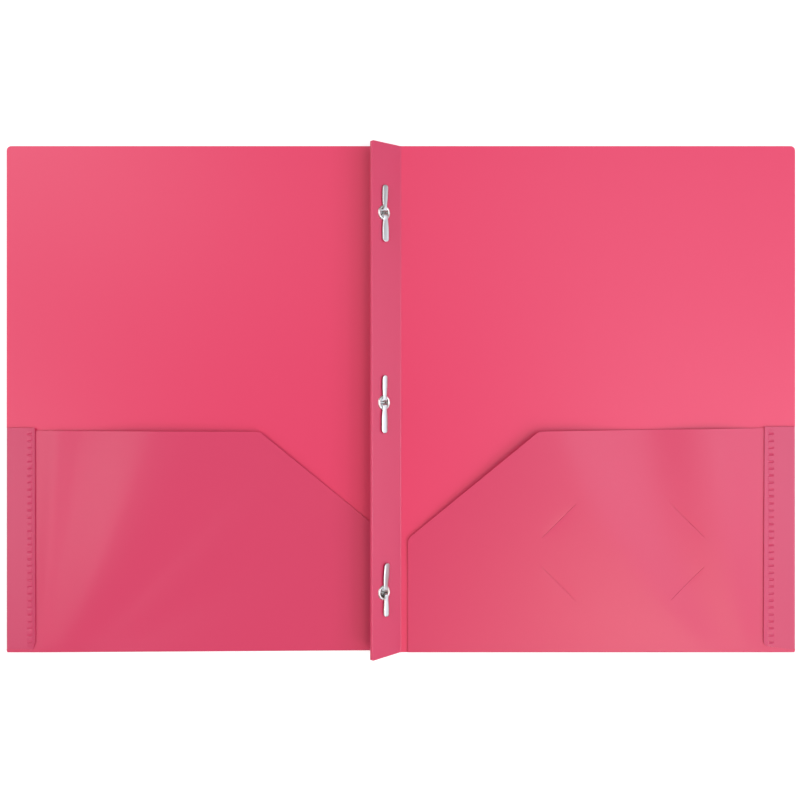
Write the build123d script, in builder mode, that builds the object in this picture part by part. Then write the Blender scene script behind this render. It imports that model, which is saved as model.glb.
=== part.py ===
"""Two-pocket polypropylene folder with three tang fasteners, lying open on a table.

The folder is one die-cut sheet. It is creased into two covers, a spine fin that
is a pleat of two layers, two pockets turned up along the bottom edge and two side
flaps welded over the pockets. Each crease parts the sheet into the panels below.
+X runs across the open covers, +Y up the spine and +Z off the table. The origin
is the middle of the open covers, on the table. All sizes are in millimetres.
"""

import os
from math import copysign, hypot

from build123d import *

# Sheet and covers
sheet = 0.5
cover_height = 292.1
open_width = 455.0
cover_corner_radius = 2.6

# Spine fin: a pleat of two layers left of the middle, leaning over the left cover
spine_offset = 1.7
fin_width = 20.2
fin_lean = 41.0
layer_gap = 0.1
front_fold_radius = 1.2
back_fold_radius = 0.7
ridge_corner_radius = 1.6

# Pockets, turned up along the bottom edge and cut away towards the spine
pocket_height = 127.5
pocket_inner_height = 66.0
right_pocket_start = 4.0
left_pocket_start = 5.9
pocket_cut_reach = 79.7
pocket_corner_radius = 5.0
pocket_gap = 0.35
pocket_bulge = 6.0
pocket_flat_strip = 26.0

# Side flaps, turned in over the pockets and welded in a row of dashes
flap_width = 17.9
flap_height = 129.5
flap_bottom_gap = 2.0
flap_corner_radius = 3.3
flap_edge_clearance = 0.1
weld_inset = 14.1
weld_length = 2.6
weld_breadth = 1.2
weld_depth = 0.25
weld_pitch = 4.0
weld_end_margin = 3.0

# Business card slits in the right pocket
card_width = 88.9
card_height = 50.8
card_across = 127.8
card_up = 58.0
slit_length = 27.0
slit_breadth = 0.4
slit_corner_distance = 10.3

# Tang fasteners: an eyelet in the fin and a strip with two prongs through it
fastener_pitch = 107.95
fastener_drop = 2.0
fastener_ridge_distance = 8.0
strip = 0.3
wide_prong = 4.2
narrow_prong = 3.4
prong_length = 15.9
prong_crown = 0.2
prong_root_offset = 0.6
knuckle_radius = 0.25
knuckle_clearance = 0.05
prong_flange_clearance = 0.1
head_radius = 3.6
bore_clearance = 0.45
eyelet_wall = 0.3
front_flange_width = 1.4
front_flange_height = 0.7
back_flange_width = 1.1
back_flange_height = 0.45
flange_bevel = 0.25
hole_clearance = 0.05

# Levels and edges worked out from the sizes above
half_width = open_width / 2
half_height = cover_height / 2
pocket_under = sheet + pocket_gap
pocket_top = pocket_under + sheet
bottom_fold_radius = pocket_top / 2
flap_fold_radius = (pocket_top + sheet) / 2
bottom_edge = bottom_fold_radius - half_height
mouth = pocket_height - half_height
flap_bottom = flap_bottom_gap - half_height
flap_top = flap_height - half_height
flap_inner = half_width - flap_width
flap_crease = half_width - flap_fold_radius
panel_outer = flap_crease - flap_edge_clearance
panel_step = flap_bottom - flap_edge_clearance
tall = pocket_top + 2 * pocket_bulge

# Spine directions: along it, up the fin and out of the fin's front face
fin_angle = 180 - fin_lean
along = Vector(0, 1, 0)
up_fin = Vector(1, 0, 0).rotate(Axis.Y, -fin_angle)
fin_front = Vector(0, 0, 1).rotate(Axis.Y, fin_lean)
fin_thickness = 2 * sheet + layer_gap

# The two fold axes lie in the wedges on either side of the fin, each tangent to a cover
fold_rise = (front_fold_radius - back_fold_radius) * fin_front.Z
fold_span = (front_fold_radius + back_fold_radius + fin_thickness - fold_rise) / fin_front.X
crease_half = fold_span / 2
right_crease = crease_half - spine_offset
left_crease = crease_half + spine_offset
front_axis = Vector(right_crease, 0, sheet + front_fold_radius)
back_axis = Vector(-left_crease, 0, sheet + back_fold_radius)
fin_foot = front_axis - fin_front * front_fold_radius
fin_face = Plane(origin=fin_foot, x_dir=along, z_dir=fin_front)

# Tang fasteners on the fin
leg_corner = hypot(wide_prong / 2, prong_root_offset + strip / 2)
bore_radius = leg_corner + bore_clearance
barrel_radius = bore_radius + eyelet_wall
fastener_line = fin_width - fastener_ridge_distance
knuckle_height = front_flange_height + prong_flange_clearance + knuckle_radius
back_face = -fin_thickness
head_face = back_face - back_flange_height
fasteners = {
    "top": fastener_pitch - fastener_drop,
    "middle": -fastener_drop,
    "bottom": -fastener_pitch - fastener_drop,
}


def on_fin(up_spine: float, up_face: float, out: float) -> Vector:
    """A point given by its place on the fin's front face and its height off it."""
    return fin_face.from_local_coords(Vector(up_spine, up_face, out))


def save(piece: BuildPart, name: str) -> None:
    """Name a finished piece and write it to its own file."""
    piece.part.label = name
    export_step(piece.part, f"parts/{name}.step")


def cover_panel(crease: float, pocket_start: float) -> BuildPart:
    """A flat panel on the right-hand side, from the spine crease to the outer edge."""
    with BuildPart() as panel:
        with BuildSketch():
            with BuildLine():
                Polyline(
                    (crease, half_height),
                    (crease, -half_height),
                    (pocket_start, -half_height),
                    (pocket_start, bottom_edge),
                    (half_width, bottom_edge),
                    (half_width, flap_bottom),
                    (flap_crease, flap_bottom),
                    (flap_crease, flap_top),
                    (half_width, flap_top),
                    (half_width, half_height),
                    close=True,
                )
            outline = make_face()
            outer_corner = outline.vertices().group_by(Axis.Y)[-1].sort_by(Axis.X)[-1]
            fillet(outer_corner, radius=cover_corner_radius)
        extrude(amount=sheet)
    return panel


def pocket_panel(start: float) -> BuildPart:
    """A pocket on the right-hand side, flat at its fold and sides and arched at its mouth."""
    arch_start = start + pocket_flat_strip
    arch_middle = (arch_start + flap_inner) / 2

    with BuildSketch() as outline:
        with BuildLine():
            Polyline(
                (start, bottom_edge),
                (half_width, bottom_edge),
                (half_width, panel_step),
                (panel_outer, panel_step),
                (panel_outer, mouth),
                (pocket_cut_reach, mouth),
                (start, pocket_inner_height - half_height),
                close=True,
            )
        make_face()
        mouth_corner = outline.vertices().group_by(Axis.Y)[-1].sort_by(Axis.X)[0]
        spine_corner = outline.vertices().group_by(Axis.X)[0].sort_by(Axis.Y)[-1]
        fillet((mouth_corner, spine_corner), radius=pocket_corner_radius)

    with BuildPart() as panel:
        for station, rise in ((bottom_edge, 0), (mouth, pocket_bulge)):
            with BuildSketch(Plane.XZ.offset(-station)):
                with BuildLine():
                    for level in (pocket_under, pocket_top):
                        if rise:
                            ThreePointArc(
                                (arch_start, level),
                                (arch_middle, level + rise),
                                (flap_inner, level),
                            )
                        else:
                            Line((arch_start, level), (flap_inner, level))
                    for side in (arch_start, flap_inner):
                        Line((side, pocket_under), (side, pocket_top))
                make_face()
        loft(ruled=True)
        with BuildSketch(Plane.XY.offset(pocket_under)):
            for inner, outer in ((start, arch_start), (flap_inner, half_width)):
                with Locations((inner, bottom_edge)):
                    Rectangle(outer - inner, mouth - bottom_edge, align=Align.MIN)
        extrude(amount=sheet)
        with BuildSketch():
            Rectangle(2 * open_width, 2 * cover_height)
            add(outline.sketch, mode=Mode.SUBTRACT)
        extrude(amount=tall, mode=Mode.SUBTRACT)
        with BuildSketch(Plane.YZ.offset(start)):
            with Locations((bottom_edge, bottom_fold_radius)):
                Circle(bottom_fold_radius)
                Circle(bottom_fold_radius - sheet, mode=Mode.SUBTRACT)
                Rectangle(
                    bottom_fold_radius,
                    pocket_top,
                    align=(Align.MIN, Align.CENTER),
                    mode=Mode.SUBTRACT,
                )
        extrude(amount=half_width - start)
    return panel


os.makedirs("parts", exist_ok=True)

# Covers and pockets: the left ones are shaped on the right-hand side and mirrored
right_cover = cover_panel(right_crease, right_pocket_start)
left_cover_shape = cover_panel(left_crease, left_pocket_start)
with BuildPart() as left_cover:
    add(left_cover_shape.part)
    mirror(about=Plane.YZ, mode=Mode.REPLACE)

right_pocket_shape = pocket_panel(right_pocket_start)
left_pocket_shape = pocket_panel(left_pocket_start)
with BuildPart() as left_pocket:
    add(left_pocket_shape.part)
    mirror(about=Plane.YZ, mode=Mode.REPLACE)

# Four slanted slits in the right pocket take the corners of a business card
slit_inset = slit_corner_distance / 2**0.5
with BuildPart() as right_pocket:
    add(right_pocket_shape.part)
    with BuildSketch():
        for side in (-1, 1):
            for end in (-1, 1):
                slit = (
                    card_across + side * (card_width / 2 - slit_inset),
                    card_up - half_height + end * (card_height / 2 - slit_inset),
                )
                with Locations(slit):
                    Rectangle(slit_length, slit_breadth, rotation=-45 * side * end)
    extrude(amount=tall, mode=Mode.SUBTRACT)

# Side flaps: folded in from the cover's outer edge, with a row of weld dashes
weld_run = flap_height - flap_bottom_gap - 2 * weld_end_margin
weld_count = int(weld_run / weld_pitch) + 1

with BuildPart() as right_side_flap:
    with BuildSketch(Plane.XZ.offset(-flap_bottom)):
        with Locations((flap_crease, flap_fold_radius)):
            Circle(flap_fold_radius)
            Circle(flap_fold_radius - sheet, mode=Mode.SUBTRACT)
            Rectangle(
                flap_fold_radius,
                2 * flap_fold_radius,
                align=(Align.MAX, Align.CENTER),
                mode=Mode.SUBTRACT,
            )
        with Locations((flap_inner, pocket_top)):
            Rectangle(flap_crease - flap_inner, sheet, align=Align.MIN)
    extrude(amount=flap_bottom - flap_top)
    inner_edges = right_side_flap.edges().filter_by(Axis.Z).group_by(Axis.X)[0]
    fillet(inner_edges.sort_by(Axis.Y)[0], radius=flap_corner_radius)
    weld_middle = (flap_bottom + flap_top) / 2
    with BuildSketch(Plane.XY.offset(pocket_top + sheet)):
        with Locations((half_width - weld_inset, weld_middle)):
            with GridLocations(1, weld_pitch, 1, weld_count):
                Rectangle(weld_length, weld_breadth)
    extrude(amount=-weld_depth, mode=Mode.SUBTRACT)

with BuildPart() as left_side_flap:
    add(right_side_flap.part)
    mirror(about=Plane.YZ, mode=Mode.REPLACE)

# Spine fin: both fold arcs and the two layers between them and the ridge
ridge = on_fin(0, fin_width, -fin_thickness / 2)
front_angle = fin_angle + 90


def section_point(point: Vector) -> tuple[float, float]:
    """A point of the spine's section as its X and Z."""
    return (point.X, point.Z)


def layer_line(depth: float) -> None:
    """Draw one face of the fin's layers in section, from its fold arc to the ridge."""
    arc_centre = back_axis if depth > sheet else front_axis
    foot = (arc_centre - fin_foot).dot(up_fin)
    Line(section_point(on_fin(0, foot, -depth)), section_point(on_fin(0, fin_width, -depth)))


with BuildPart() as spine_fin:
    with BuildSketch(Plane.XZ):
        with BuildLine():
            front_centre = section_point(front_axis)
            back_centre = section_point(back_axis)
            CenterArc(front_centre, front_fold_radius, front_angle, 270 - front_angle)
            CenterArc(front_centre, front_fold_radius + sheet, front_angle, 270 - front_angle)
            CenterArc(back_centre, back_fold_radius, -90, fin_angle)
            CenterArc(back_centre, back_fold_radius + sheet, -90, fin_angle)
            for crease in (right_crease, -left_crease):
                Line((crease, 0), (crease, sheet))
            for depth in (0, sheet, sheet + layer_gap, fin_thickness):
                layer_line(depth)
            for radius in (fin_thickness / 2, layer_gap / 2):
                CenterArc(section_point(ridge), radius, fin_angle - 90, 180)
        make_face()
    extrude(amount=half_height, both=True)
    ridge_edge = fin_width + fin_thickness / 2
    with BuildSketch(fin_face):
        for end in (-1, 1):
            with Locations((end * half_height, ridge_edge)):
                Rectangle(2 * ridge_corner_radius, 2 * ridge_corner_radius)
            rounding = (end * (half_height - ridge_corner_radius), ridge_edge - ridge_corner_radius)
            with Locations(rounding):
                Circle(ridge_corner_radius, mode=Mode.SUBTRACT)
        for up_spine in fasteners.values():
            with Locations((up_spine, fastener_line)):
                Circle(barrel_radius + hole_clearance)
    extrude(amount=fin_thickness, both=True, mode=Mode.SUBTRACT)

for piece, name in (
    (right_cover, "right_cover"),
    (right_pocket, "right_pocket"),
    (right_side_flap, "right_side_flap"),
    (left_cover, "left_cover"),
    (left_pocket, "left_pocket"),
    (left_side_flap, "left_side_flap"),
    (spine_fin, "spine_fin"),
):
    save(piece, name)


def flange(seat: float, width: float, height: float) -> None:
    """Draw one flange of an eyelet in section, from its bore over the edges to its barrel.

    Args:
        seat: Height of the fin's face that the flange is turned over.
        width: How far it reaches out from the bore.
        height: How far it stands off the face, negative behind the fin.
    """
    outer = bore_radius + width
    crest = seat + height
    shoulder = crest - copysign(flange_bevel, height)
    Polyline(
        (bore_radius, seat),
        (bore_radius, shoulder),
        (bore_radius + flange_bevel, crest),
        (outer - flange_bevel, crest),
        (outer, shoulder),
        (outer, seat),
        (barrel_radius, seat),
    )


# Tang fasteners: eyelet, strip base and two prongs at each of three places
for place, up_spine in fasteners.items():
    centre = on_fin(up_spine, fastener_line, 0)
    axial_section = Plane(origin=centre, x_dir=along, z_dir=-up_fin)

    with BuildPart() as eyelet:
        with BuildSketch(axial_section):
            with BuildLine():
                flange(0, front_flange_width, front_flange_height)
                flange(back_face, back_flange_width, -back_flange_height)
                for radius in (bore_radius, barrel_radius):
                    Line((radius, 0), (radius, back_face))
            make_face()
        revolve(axis=Axis(centre, fin_front))
    save(eyelet, f"{place}_eyelet")

    widths = {"upper": narrow_prong, "lower": wide_prong}
    if place == "bottom":
        widths = {"upper": wide_prong, "lower": narrow_prong}
    turns = {"upper": 1, "lower": -1}

    with BuildPart() as base:
        head_plane = Plane(on_fin(up_spine, fastener_line, head_face), along, fin_front)
        with BuildSketch(head_plane):
            Circle(head_radius)
        extrude(amount=-strip)
        with BuildSketch(head_plane):
            for end, width in widths.items():
                with Locations((turns[end] * prong_root_offset, 0)):
                    Rectangle(strip, width)
        extrude(amount=knuckle_height - knuckle_radius - knuckle_clearance - head_face)
    save(base, f"{place}_fastener_base")

    for end, width in widths.items():
        turn = turns[end]
        pivot = on_fin(up_spine + turn * prong_root_offset, fastener_line, knuckle_height)
        with BuildPart() as prong:
            with BuildSketch(Plane(origin=pivot, x_dir=up_fin, z_dir=along)):
                with BuildLine():
                    for level in (-strip / 2, strip / 2):
                        ThreePointArc(
                            (-width / 2, level), (0, level + prong_crown), (width / 2, level)
                        )
                    for side in (-width / 2, width / 2):
                        Line((side, -strip / 2), (side, strip / 2))
                make_face()
            extrude(amount=turn * prong_length)
            with BuildSketch(Plane(origin=pivot, x_dir=along * turn, z_dir=fin_front)):
                Rectangle(prong_length - width / 2, width, align=(Align.MIN, Align.CENTER))
                with Locations((prong_length - width / 2, 0)):
                    Circle(width / 2)
            extrude(amount=2 * (strip + prong_crown), both=True, mode=Mode.INTERSECT)
            with BuildSketch(Plane(origin=pivot, x_dir=along, z_dir=up_fin)):
                Circle(knuckle_radius)
            extrude(amount=width / 2, both=True)
        save(prong, f"{place}_{end}_prong")
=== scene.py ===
"""Two-pocket polypropylene folder with three tang fasteners, lying open on a white table.

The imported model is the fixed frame: +X across the open covers, +Y up the spine, +Z off the table.
Every piece is shaped in millimetres in that frame and brought to metres when it is finished.
"""

import logging
import math
from abc import ABC, abstractmethod
from collections.abc import Callable, Iterator, Sequence
from contextlib import contextmanager
from dataclasses import dataclass, field
from enum import Enum
from functools import partial

import bmesh
import bpy
import numpy as np
from mathutils import Matrix, Vector


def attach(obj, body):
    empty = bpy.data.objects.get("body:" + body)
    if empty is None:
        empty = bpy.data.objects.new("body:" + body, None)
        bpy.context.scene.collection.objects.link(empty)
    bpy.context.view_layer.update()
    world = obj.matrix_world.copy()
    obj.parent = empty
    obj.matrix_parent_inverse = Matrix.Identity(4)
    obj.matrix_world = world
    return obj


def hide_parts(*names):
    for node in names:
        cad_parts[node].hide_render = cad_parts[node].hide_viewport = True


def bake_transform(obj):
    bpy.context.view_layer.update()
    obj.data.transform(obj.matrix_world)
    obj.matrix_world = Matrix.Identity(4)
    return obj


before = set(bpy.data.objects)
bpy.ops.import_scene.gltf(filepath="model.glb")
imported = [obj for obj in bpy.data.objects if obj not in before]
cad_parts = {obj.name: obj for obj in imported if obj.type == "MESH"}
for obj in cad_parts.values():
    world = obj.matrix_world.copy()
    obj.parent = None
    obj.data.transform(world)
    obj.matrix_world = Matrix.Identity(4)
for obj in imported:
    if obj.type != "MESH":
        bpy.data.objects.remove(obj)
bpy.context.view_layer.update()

LOG = logging.getLogger("folder")
MM = 0.001
SMOOTH_ANGLE = math.radians(35)
CREASE_ANGLE = math.radians(55)

# Distances in millimetres that count as one cut, one point and one place
SLIVER = 1e-4
DOUBLED = 0.001
NEAR = 0.01

Test = Callable[[Vector], bool]
Slit = tuple[Vector, Vector, Vector]


class Side(Enum):
    """The two halves of the open folder, by the sign of X."""

    RIGHT = 1
    LEFT = -1

    @property
    def word(self) -> str:
        """The side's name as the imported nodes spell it."""
        return self.name.lower()

    @property
    def body(self) -> str:
        """The body that this half of the folder moves with."""
        return f"{self.word}_half"


class Element(Enum):
    """What an edit-mode choice is made of."""

    POINT = "VERT"
    EDGE = "EDGE"
    FACE = "FACE"


class Slot(Enum):
    """The record's material slots."""

    SHEET = "polypropylene_sheet"
    EYELET = "nickel_eyelet"
    TANG = "tinplate_tang"


def only(piece: bpy.types.Object) -> None:
    """Select one object alone and make it the active one.

    Args:
        piece: The piece.
    """
    bpy.ops.object.select_all(action="DESELECT")
    piece.select_set(True)
    bpy.context.view_layer.objects.active = piece


def add(maker: Callable[..., set[str]], **settings: object) -> bpy.types.Object:
    """Add a primitive, a light or a camera with nothing else selected.

    Args:
        maker: The operator that adds it.
        **settings: What the operator is told.

    Returns:
        The new object.
    """
    bpy.ops.object.select_all(action="DESELECT")
    maker(**settings)
    return bpy.context.object


@contextmanager
def editing(piece: bpy.types.Object) -> Iterator[None]:
    """Work on a piece in edit mode, with all of it selected at first.

    Args:
        piece: The piece.

    Yields:
        Nothing, while the piece is in edit mode.
    """
    only(piece)
    bpy.ops.object.mode_set(mode="EDIT")
    bpy.ops.mesh.select_mode(type="VERT")
    bpy.ops.mesh.select_all(action="SELECT")
    yield
    bpy.ops.object.mode_set(mode="OBJECT")


def choose(piece: bpy.types.Object, kind: Element, test: Test) -> None:
    """Select in edit mode the points, edges or faces whose middle passes a test.

    Args:
        piece: The object that is in edit mode.
        kind: What to choose.
        test: Takes the middle of a point, edge or face and says if it is chosen.
    """
    bpy.ops.mesh.select_mode(type=kind.value)
    bpy.ops.mesh.select_all(action="DESELECT")
    shape = bmesh.from_edit_mesh(piece.data)
    if kind is Element.POINT:
        for point in shape.verts:
            point.select = test(point.co)
    elif kind is Element.EDGE:
        for edge in shape.edges:
            edge.select_set(test((edge.verts[0].co + edge.verts[1].co) / 2))
    else:
        for face in shape.faces:
            face.select_set(test(face.calc_center_median()))
    shape.select_flush_mode()
    bmesh.update_edit_mesh(piece.data)


def cut(at: Sequence[float], facing: Sequence[float], clear: bool = False) -> None:
    """Cut what is selected in edit mode by a plane, and take away what lies beyond it if asked."""
    bpy.ops.mesh.bisect(
        plane_co=at, plane_no=facing, clear_outer=clear, threshold=SLIVER
    )


def rule(
    piece: bpy.types.Object, axis: int, marks: Sequence[float], within: Test | None = None
) -> None:
    """Cut a piece in edit mode at marks along one axis.

    Args:
        piece: The object that is in edit mode.
        axis: 0 to cut along X and 1 along Y.
        marks: Where to cut.
        within: Says of a face's middle if the face is cut. Without it every face is.
    """
    facing = Vector((0, 0, 0))
    facing[axis] = 1
    for mark in marks:
        if within:
            choose(piece, Element.FACE, within)
        else:
            bpy.ops.mesh.select_all(action="SELECT")
        cut(facing * mark, facing)


def even(low: float, high: float, step: float) -> list[float]:
    """Marks between two ends, evenly spaced by about one step, without the ends."""
    count = max(1, round((high - low) / step))
    return [low + (high - low) * k / count for k in range(1, count)]


def trim(start: Sequence[float], stop: Sequence[float]) -> None:
    """Cut away what lies right of a line across a flat piece in edit mode.

    Args:
        start: X and Y of a point that the line comes from.
        stop: X and Y of a point that it goes to.
    """
    run = (Vector(stop) - Vector(start)).normalized()
    bpy.ops.mesh.select_all(action="SELECT")
    cut((*start, 0), (run.y, -run.x, 0), clear=True)


def round_corner(
    piece: bpy.types.Object, corner: Sequence[float], reach: float, segments: int = 8
) -> None:
    """Round one corner point of a flat piece in edit mode.

    Args:
        piece: The object that is in edit mode.
        corner: X and Y of a place near the point.
        reach: How far along each edge the rounding starts.
        segments: How many edges the rounding has.
    """
    here = Vector(corner)
    points = bmesh.from_edit_mesh(piece.data).verts
    nearest = min((point.co.xy - here).length for point in points)
    choose(
        piece, Element.POINT, lambda point: (point.xy - here).length < nearest + SLIVER
    )
    bpy.ops.mesh.bevel(
        offset_type="ABSOLUTE",
        offset=reach,
        segments=segments,
        affect="VERTICES",
        clamp_overlap=False,
    )


def plate(
    name: str, low: Sequence[float], high: Sequence[float], level: float
) -> bpy.types.Object:
    """Add a flat rectangle.

    Args:
        name: The piece's name.
        low: Its lowest X and Y.
        high: Its highest X and Y.
        level: Its height.

    Returns:
        The new object, with its place in its mesh.
    """
    middle = ((low[0] + high[0]) / 2, (low[1] + high[1]) / 2, level)
    piece = add(bpy.ops.mesh.primitive_plane_add, size=1, location=middle)
    piece.name = piece.data.name = name
    piece.scale = (high[0] - low[0], high[1] - low[1], 1)
    bpy.ops.object.transform_apply()
    return piece


def reshape(
    piece: bpy.types.Object, move: Callable[[np.ndarray], np.ndarray]
) -> None:
    """Move every point of a piece by a rule that takes and gives rows of X, Y and Z.

    Args:
        piece: The piece.
        move: Takes rows of X, Y and Z and gives the moved rows.
    """
    points = np.empty(3 * len(piece.data.vertices))
    piece.data.vertices.foreach_get("co", points)
    piece.data.vertices.foreach_set("co", move(points.reshape(-1, 3)).ravel())
    piece.data.update()


def work(piece: bpy.types.Object, kind: str, **settings: object) -> None:
    """Add a modifier to a piece and apply it.

    Args:
        piece: The piece.
        kind: The modifier's type.
        **settings: The modifier's settings.
    """
    only(piece)
    modifier = piece.modifiers.new(kind, kind)
    for name, value in settings.items():
        setattr(modifier, name, value)
    bpy.ops.object.modifier_apply(modifier=modifier.name)


def thicken(piece: bpy.types.Object, thickness: float, offset: float = 0.0) -> None:
    """Give a sheet its thickness, half to each side unless an offset is given."""
    work(
        piece, "SOLIDIFY", thickness=thickness, offset=offset, use_even_offset=True
    )


def soften(piece: bpy.types.Object, width: float, seam: Test) -> None:
    """Break the sharp edges of a piece, apart from those that run on into its neighbours.

    Args:
        piece: The closed piece.
        width: How wide the broken edge is.
        seam: Says of an edge's middle if the sheet runs on there.
    """
    with editing(piece):
        bpy.ops.mesh.select_mode(type="EDGE")
        bpy.ops.mesh.select_all(action="DESELECT")
        shape = bmesh.from_edit_mesh(piece.data)
        for edge in shape.edges:
            middle = (edge.verts[0].co + edge.verts[1].co) / 2
            sharp = edge.is_manifold and edge.calc_face_angle(0) > CREASE_ANGLE
            edge.select_set(sharp and not seam(middle))
        bmesh.update_edit_mesh(piece.data)
        bpy.ops.mesh.bevel(
            offset=width, segments=2, affect="EDGES", clamp_overlap=False
        )


def merge() -> None:
    """Join the doubled points of the piece in edit mode and turn its faces one way."""
    bpy.ops.mesh.select_all(action="SELECT")
    bpy.ops.mesh.remove_doubles(threshold=DOUBLED)
    bpy.ops.mesh.normals_make_consistent(inside=False)


def turn_over(
    piece: bpy.types.Object, edge: Test, middle: Sequence[float], axis: Sequence[float], steps: int
) -> None:
    """Turn an edge of a flat panel half round, down into the cover.

    Args:
        piece: The panel.
        edge: Says of a point if it is on that edge.
        middle: A point of the fold's axis.
        axis: The axis's direction.
        steps: How many faces the fold has.
    """
    with editing(piece):
        choose(piece, Element.POINT, edge)
        bpy.ops.mesh.spin(steps=steps, angle=-math.pi, center=middle, axis=axis)
        merge()


def twin(piece: bpy.types.Object, name: str) -> bpy.types.Object:
    """Copy a piece with its own mesh.

    Args:
        piece: The piece.
        name: The copy's name.

    Returns:
        The copy.
    """
    only(piece)
    bpy.ops.object.duplicate(linked=False)
    copy = bpy.context.object
    copy.name = copy.data.name = name
    return copy


def place_on(piece: bpy.types.Object, seat: Matrix) -> None:
    """Move a piece to its seat and keep the place in its mesh.

    Args:
        piece: The piece.
        seat: Where it goes.
    """
    piece.matrix_world = seat
    only(piece)
    bpy.ops.object.transform_apply()


def settle(piece: bpy.types.Object, side: Side = Side.RIGHT) -> None:
    """Mirror a left-hand piece across the spine, bring it to metres and smooth it.

    The shading follows the largest faces, so flat panels look flat up to their broken edges.

    Args:
        piece: The piece.
        side: The half of the folder that it belongs to.
    """
    only(piece)
    piece.scale = (MM * side.value, MM, MM)
    bpy.ops.object.transform_apply()
    with editing(piece):
        bpy.ops.mesh.normals_make_consistent(inside=False)
    only(piece)
    bpy.ops.object.shade_smooth_by_angle(angle=SMOOTH_ANGLE)
    work(piece, "WEIGHTED_NORMAL", weight=100, keep_sharp=True)


def dress(
    piece: bpy.types.Object, material: bpy.types.Material
) -> None:
    """Give a finished piece its material.

    Args:
        piece: The piece.
        material: Its material.
    """
    piece.data.materials.clear()
    piece.data.materials.append(material)


def ease(share: np.ndarray) -> np.ndarray:
    """Turn a share into a smooth step from 0 to 1."""
    held = np.clip(share, 0, 1)
    return held * held * (3 - 2 * held)


def linear(code: str) -> tuple[float, float, float, float]:
    """Turn an sRGB hex colour into a linear one.

    Args:
        code: The colour as six hex digits.

    Returns:
        Its red, green and blue, and 1.0 for opaque.
    """
    parts = [int(code.lstrip("#")[k : k + 2], 16) / 255 for k in (0, 2, 4)]
    red, green, blue = (
        part / 12.92 if part <= 0.04045 else ((part + 0.055) / 1.055) ** 2.4
        for part in parts
    )
    return red, green, blue, 1.0


def add_node(
    tree: bpy.types.NodeTree,
    kind: str,
    inputs: dict[str | int, object] | None = None,
    **settings: object,
) -> bpy.types.Node:
    """Add a node with its settings, and feed its inputs.

    Args:
        tree: The node tree.
        kind: The node's type.
        inputs: Values, or other nodes' outputs to link, by the input's name or number.
        **settings: The node's own properties.

    Returns:
        The new node.
    """
    node = tree.nodes.new(kind)
    for name, value in settings.items():
        setattr(node, name, value)
    for name, value in (inputs or {}).items():
        if isinstance(value, bpy.types.NodeSocket):
            tree.links.new(value, node.inputs[name])
        else:
            node.inputs[name].default_value = value
    return node


def blank_material(name: str) -> tuple[bpy.types.Material, bpy.types.NodeTree]:
    """Make a material with an empty node tree.

    Args:
        name: The material's name.

    Returns:
        The material and its node tree.
    """
    material = bpy.data.materials.new(name)
    material.use_nodes = True
    material.node_tree.nodes.clear()
    return material, material.node_tree


@dataclass(frozen=True)
class CoralPolypropylene:
    """Extruded polypropylene sheet, dyed coral through and through, with a sand finish rolled in.

    The dye gives a deep pink, and the rolled sand breaks its gloss into a soft white sheen. The
    sheet lets a little light through, so it looks deeper where it lies in more layers. That
    deeper look is painted shade, given as darker copies of the colour.

    Attributes:
        name: What the material is called.
        colour: The dyed plastic's colour, without its sheen, darkened as painted shade in its
            copies for more layers.
        roughness: How far the rolled sand spreads the sheen.
        index: Refractive index of polypropylene.
        grain: Size of the sand finish in millimetres. The real grain is about 0.2 mm, too fine
            for the picture, so it is drawn as coarse as it needs to show.
        relief: Depth of the drawn grain in millimetres.
    """

    name: str
    colour: str
    roughness: float = 0.33
    index: float = 1.49
    grain: float = 0.9
    relief: float = 0.012

    def material(self) -> bpy.types.Material:
        """Build the material.

        Returns:
            The new material.
        """
        material, tree = blank_material(self.name)
        place = add_node(tree, "ShaderNodeTexCoord")
        sand = add_node(
            tree,
            "ShaderNodeTexNoise",
            {
                "Vector": place.outputs["Object"],
                "Scale": 1 / (self.grain * MM),
                "Detail": 2.0,
                "Roughness": 0.6,
            },
        )
        bump = add_node(
            tree,
            "ShaderNodeBump",
            {"Height": sand.outputs["Fac"], "Strength": 1.0, "Distance": self.relief * MM},
        )
        shader = add_node(
            tree,
            "ShaderNodeBsdfPrincipled",
            {
                "Base Color": linear(self.colour),
                "Roughness": self.roughness,
                "IOR": self.index,
                "Normal": bump.outputs["Normal"],
            },
        )
        add_node(
            tree, "ShaderNodeOutputMaterial", {"Surface": shader.outputs["BSDF"]}
        )
        return material


@dataclass(frozen=True)
class PlatedMetal:
    """Thin metal under bright plate, drawn and rolled, so it mirrors the room a little blurred.

    Attributes:
        name: What the metal is called.
        colour: The plate's colour.
        roughness: How far its reflections are blurred.
        line_width: Spacing of the fine rolling lines in millimetres.
        line_depth: Depth of those lines in millimetres.
        line_length: How many times longer than wide they are.
    """

    name: str
    colour: str
    roughness: float
    line_width: float
    line_depth: float
    line_length: float = 20.0

    def material(self) -> bpy.types.Material:
        """Build the material.

        Returns:
            The new material.
        """
        material, tree = blank_material(self.name)
        place = add_node(tree, "ShaderNodeTexCoord")
        # The lines run along the spine, as the strip was rolled and its prongs lie
        stretch = add_node(
            tree,
            "ShaderNodeMapping",
            {"Vector": place.outputs["Object"], "Scale": (1.0, 1 / self.line_length, 1.0)},
        )
        lines = add_node(
            tree,
            "ShaderNodeTexNoise",
            {
                "Vector": stretch.outputs["Vector"],
                "Scale": 1 / (self.line_width * MM),
                "Detail": 2.0,
            },
        )
        bump = add_node(
            tree,
            "ShaderNodeBump",
            {
                "Height": lines.outputs["Fac"],
                "Strength": 1.0,
                "Distance": self.line_depth * MM,
            },
        )
        shader = add_node(
            tree,
            "ShaderNodeBsdfPrincipled",
            {
                "Base Color": linear(self.colour),
                "Metallic": 1.0,
                "Roughness": self.roughness,
                "Normal": bump.outputs["Normal"],
            },
        )
        add_node(
            tree, "ShaderNodeOutputMaterial", {"Surface": shader.outputs["BSDF"]}
        )
        return material


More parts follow.
